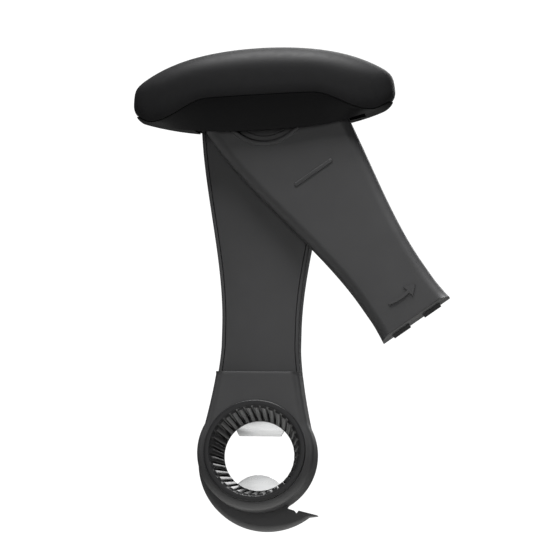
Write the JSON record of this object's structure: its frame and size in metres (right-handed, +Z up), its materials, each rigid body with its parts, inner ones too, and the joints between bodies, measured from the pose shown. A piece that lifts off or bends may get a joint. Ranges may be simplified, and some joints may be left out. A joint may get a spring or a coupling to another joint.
{
  "type": "office chair armrest",
  "caption": "Padded office-chair armrest on an upright arm, with a tilting soft top, a swing cover and a toothed tapered hub with a key plate and a pointed stop claw.",
  "frame": {"origin": "on the hub's axis, in the plane of the hub's rear face, which sits against the chair", "axes": "+Z up from the hub to the pad, +X along the pad towards the side that the cover opens to, +Y from the cover towards the chair"},
  "size_m": [0.3074, 0.0878, 0.4689],
  "materials": {
    "arm_plastic": "fine spark-eroded grain, black glass-filled nylon",
    "cover_plastic": "fine spark-eroded grain, black",
    "base_plastic": "fine grain, black polypropylene",
    "soft_top": "soft integral-skin polyurethane with a faint leather grain",
    "bush_plastic": "satin black acetal",
    "zinc_steel": "bright zinc plate on pressed steel",
    "black_steel": "black phosphated steel"
  },
  "bodies": {
    "arm": {"arm_shell": "arm_plastic", "arm_face": "arm_plastic", "arm_spine": "zinc_steel", "shell_screw_1": "black_steel", "shell_screw_2": "black_steel", "spine_screw_1": "black_steel", "spine_screw_2": "black_steel", "hub_housing": "arm_plastic", "toothed_bush": "bush_plastic", "key_plate": "zinc_steel", "stop_claw": "arm_plastic", "claw_screw_1": "black_steel", "claw_screw_2": "black_steel", "claw_screw_3": "black_steel", "key_screw_1": "black_steel", "key_screw_2": "black_steel", "key_screw_3": "black_steel", "boss_hub": "arm_plastic", "boss_disc": "arm_plastic", "boss_screw_1": "black_steel", "boss_screw_2": "black_steel", "boss_screw_3": "black_steel", "pivot_sleeve": "zinc_steel", "friction_washer_front": "zinc_steel", "friction_washer_rear": "zinc_steel", "pivot_bolt": "black_steel", "pivot_nut": "zinc_steel"},
    "cover": {"swing_cover": "cover_plastic", "end_clip": "bush_plastic"},
    "pad": {"pad_cushion": "soft_top", "pad_base": "base_plastic", "pad_carrier": "black_steel", "tilt_bracket": "zinc_steel", "bracket_screw_1": "black_steel", "bracket_screw_2": "black_steel", "bracket_screw_3": "black_steel", "bracket_screw_4": "black_steel", "base_screw_1": "black_steel", "base_screw_2": "black_steel"}
  },
  "joints": [
    {"name": "cover_swing", "type": "hinge", "parent": "arm", "child": "cover", "pos_m": [0.00949, -0.0312, 0.33987], "axis": [0, -1, 0], "range_deg": [-35.6, 0]},
    {"name": "pad_tilt", "type": "hinge", "parent": "arm", "child": "pad", "pos_m": [0.00949, -0.02, 0.33987], "axis": [0, -1, 0], "range_deg": [-5, 5]}
  ]
}
